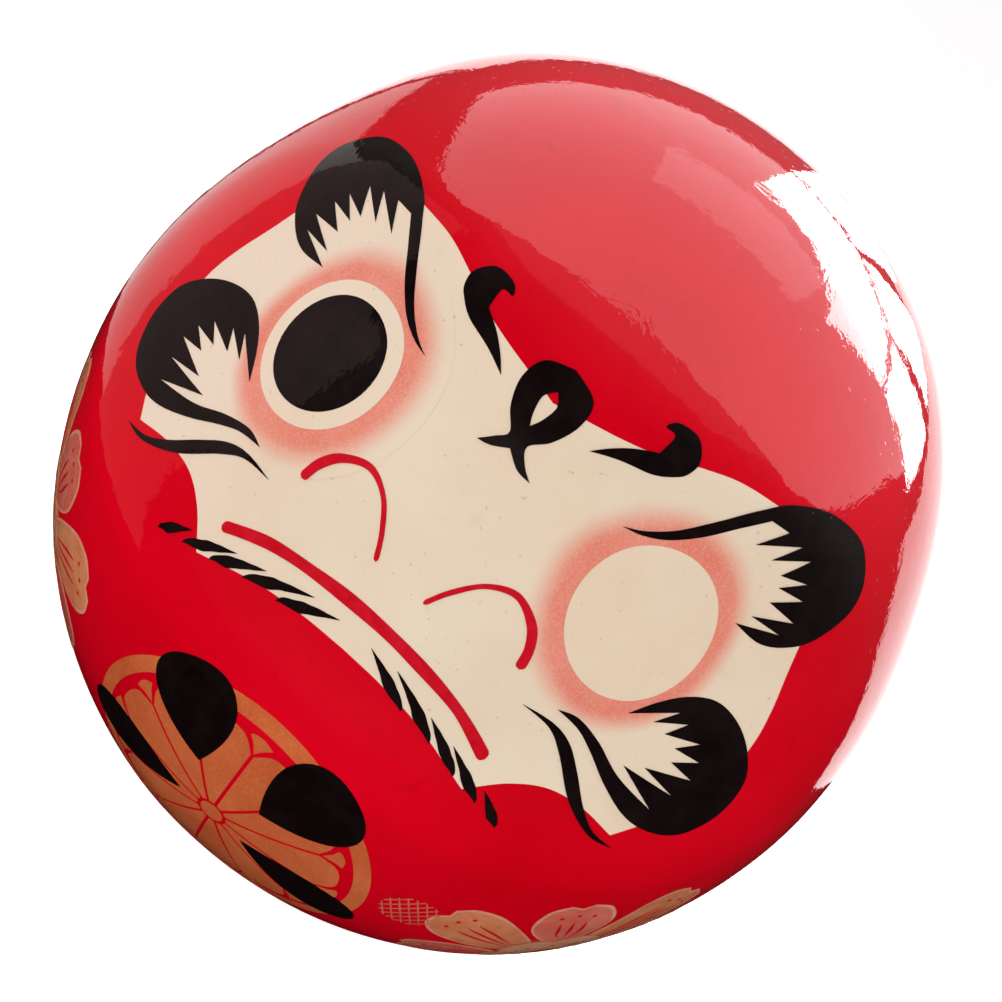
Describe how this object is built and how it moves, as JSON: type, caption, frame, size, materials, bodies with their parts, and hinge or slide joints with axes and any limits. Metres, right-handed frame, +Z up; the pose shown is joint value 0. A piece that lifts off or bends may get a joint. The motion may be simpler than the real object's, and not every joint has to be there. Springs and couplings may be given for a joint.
{
  "type": "daruma doll",
  "caption": "Round weighted papier-mache daruma figure with a recessed painted face, a gilt medallion on the belly and a blank eye.",
  "frame": {"origin": "middle of the underside of the base", "axes": "+Z up, the face looks along -Y, +X to the right of a person who looks at the face"},
  "size_m": [0.25, 0.2391, 0.2522],
  "materials": {
    "red_lacquer": "gloss",
    "cream_paint": "gloss",
    "pink_paint": "gloss",
    "black_paint": "gloss",
    "red_line_paint": "gloss",
    "gold_paint": "gloss",
    "blossom_paint": "gloss",
    "card": "matte",
    "clay": "matte",
    "plain_paper": "matte"
  },
  "bodies": {
    "root": {"base_band": "red_lacquer", "base_board": "card", "base_weight": "clay", "beard_left_1": "black_paint", "beard_left_2": "black_paint", "beard_left_3": "black_paint", "beard_left_4": "black_paint", "beard_left_5": "black_paint", "beard_right_1": "black_paint", "beard_right_2": "black_paint", "beard_right_3": "black_paint", "beard_right_4": "black_paint", "beard_right_5": "black_paint", "blossom_hub_left": "gold_paint", "blossom_hub_right": "gold_paint", "blossom_left": "blossom_paint", "blossom_right": "blossom_paint", "brow_left": "black_paint", "brow_right": "black_paint", "cheek_tuft_left": "black_paint", "cheek_tuft_right": "black_paint", "crest_dab_1": "black_paint", "crest_dab_2": "black_paint", "crest_dab_3": "black_paint", "crest_dab_4": "black_paint", "crest_hub": "gold_paint", "crest_petal_1": "gold_paint", "crest_petal_10": "gold_paint", "crest_petal_11": "gold_paint", "crest_petal_12": "gold_paint", "crest_petal_2": "gold_paint", "crest_petal_3": "gold_paint", "crest_petal_4": "gold_paint", "crest_petal_5": "gold_paint", "crest_petal_6": "gold_paint", "crest_petal_7": "gold_paint", "crest_petal_8": "gold_paint", "crest_petal_9": "gold_paint", "crest_ring": "gold_paint", "eye_halo_left": "pink_paint", "eye_halo_right": "pink_paint", "eye_white_left": "cream_paint", "eye_white_right": "cream_paint", "face_enamel": "cream_paint", "forehead_knot": "black_paint", "front_shell": "red_lacquer", "mouth_line": "red_line_paint", "nose_line_left": "red_line_paint", "nose_line_right": "red_line_paint", "pupil_left": "black_paint", "rear_shell": "red_lacquer", "seam_strip": "plain_paper", "temple_comma_left": "black_paint", "temple_comma_right": "black_paint", "whisker_left": "black_paint", "whisker_right": "black_paint"}
  },
  "joints": []
}
